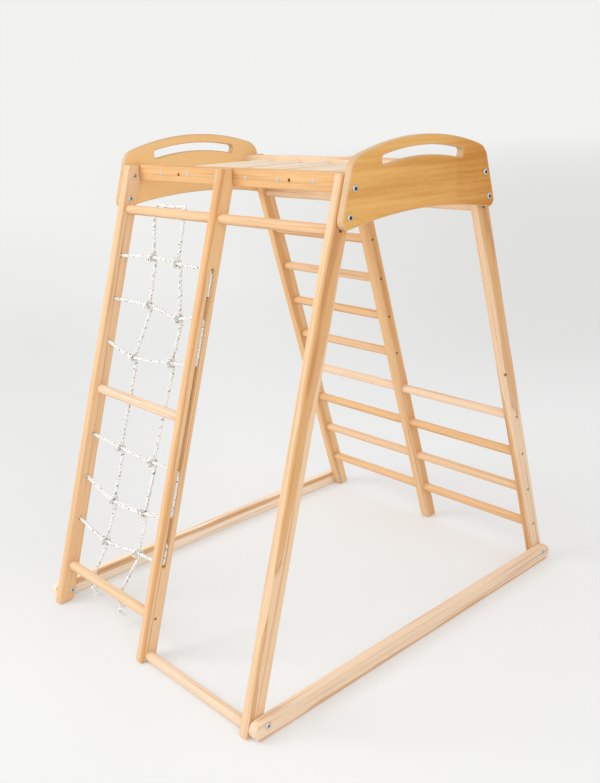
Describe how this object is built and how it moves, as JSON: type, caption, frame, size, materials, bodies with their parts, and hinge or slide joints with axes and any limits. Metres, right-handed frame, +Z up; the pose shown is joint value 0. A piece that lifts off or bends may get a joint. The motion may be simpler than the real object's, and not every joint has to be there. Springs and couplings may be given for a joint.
{
  "type": "indoor play structure",
  "caption": "Wooden indoor climbing frame: two leaning ladders, a rope net, a doorway, rungs overhead and arched gable boards with handle slots.",
  "frame": {"origin": "on the floor in the middle of the footprint", "axes": "+Z up, +X across the frame towards the doorway's side, -Y towards the front with the net"},
  "size_m": [0.9628, 1.2724, 1.371],
  "materials": {
    "pine": "clear satin lacquer",
    "gable_wood": "stained and lacquered",
    "steel": "zinc plated",
    "rope": "twisted cord"
  },
  "bodies": {
    "root": {"doorway_bottom_rung": "pine", "front_bottom_rung": "pine", "front_middle_rung": "pine", "front_stile_left": "pine", "front_stile_middle": "pine", "front_stile_right": "pine", "front_top_rung": "pine", "gable_bolt_1": "steel", "gable_bolt_2": "steel", "gable_bolt_3": "steel", "gable_bolt_4": "steel", "gable_bolt_5": "steel", "gable_bolt_6": "steel", "gable_bolt_7": "steel", "gable_bolt_8": "steel", "gable_left": "gable_wood", "gable_nut_1": "steel", "gable_nut_2": "steel", "gable_nut_3": "steel", "gable_nut_4": "steel", "gable_nut_5": "steel", "gable_nut_6": "steel", "gable_nut_7": "steel", "gable_nut_8": "steel", "gable_right": "gable_wood", "ground_rail_bolt_1": "steel", "ground_rail_bolt_2": "steel", "ground_rail_bolt_3": "steel", "ground_rail_bolt_4": "steel", "ground_rail_left": "pine", "ground_rail_nut_1": "steel", "ground_rail_nut_2": "steel", "ground_rail_nut_3": "steel", "ground_rail_nut_4": "steel", "ground_rail_right": "pine", "net_hangers": "rope", "net_rows": "rope", "net_stopper_knot_1": "rope", "net_stopper_knot_2": "rope", "rear_rung_1": "pine", "rear_rung_2": "pine", "rear_rung_3": "pine", "rear_rung_4": "pine", "rear_rung_5": "pine", "rear_rung_6": "pine", "rear_rung_7": "pine", "rear_rung_8": "pine", "rear_rung_9": "pine", "rear_stile_left": "pine", "rear_stile_middle": "pine", "rear_stile_right": "pine", "top_rail_front": "pine", "top_rail_rear": "pine", "top_rung_1": "pine", "top_rung_2": "pine", "top_rung_3": "pine", "top_rung_4": "pine", "top_rung_5": "pine", "top_rung_6": "pine"}
  },
  "joints": []
}
